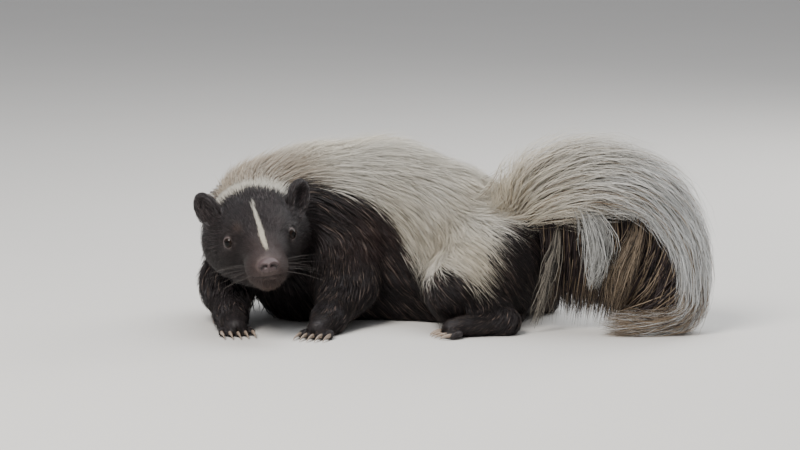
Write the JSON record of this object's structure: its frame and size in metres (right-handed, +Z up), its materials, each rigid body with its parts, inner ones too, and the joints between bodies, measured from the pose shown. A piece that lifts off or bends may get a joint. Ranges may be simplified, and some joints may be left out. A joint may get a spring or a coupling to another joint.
{
  "type": "striped skunk, still life-size animal model",
  "caption": "Still life-size striped skunk lying curled on its belly, head turned to one side, with a long-haired tail arched over to the floor.",
  "frame": {"origin": "on the floor, at the middle of the model's own box", "axes": "+Z up; the face looks along -Y, the body lies along X with the head at -X, and the tail reaches to +X"},
  "size_m": [0.3753, 0.2241, 0.144],
  "materials": {
    "black_fur": "long glossy black-brown hair",
    "white_fur": "long cream-white hair",
    "eye": "wet, near-black",
    "nose": "moist, finely grained bare skin",
    "claw": "worn horn"
  },
  "bodies": {
    "root": {"head": "black_fur", "nose": "nose", "neck": "black_fur", "torso_front": "black_fur", "torso_rear": "black_fur", "eye_right": "eye", "eye_left": "eye", "ear_right": "black_fur", "ear_left": "black_fur", "foreleg_right": "black_fur", "foreleg_left": "black_fur", "hindleg_right": "black_fur", "hindleg_left": "black_fur", "tail_base": "white_fur", "tail_middle": "white_fur", "tail_lower": "white_fur", "tail_end": "white_fur"}
  },
  "joints": []
}
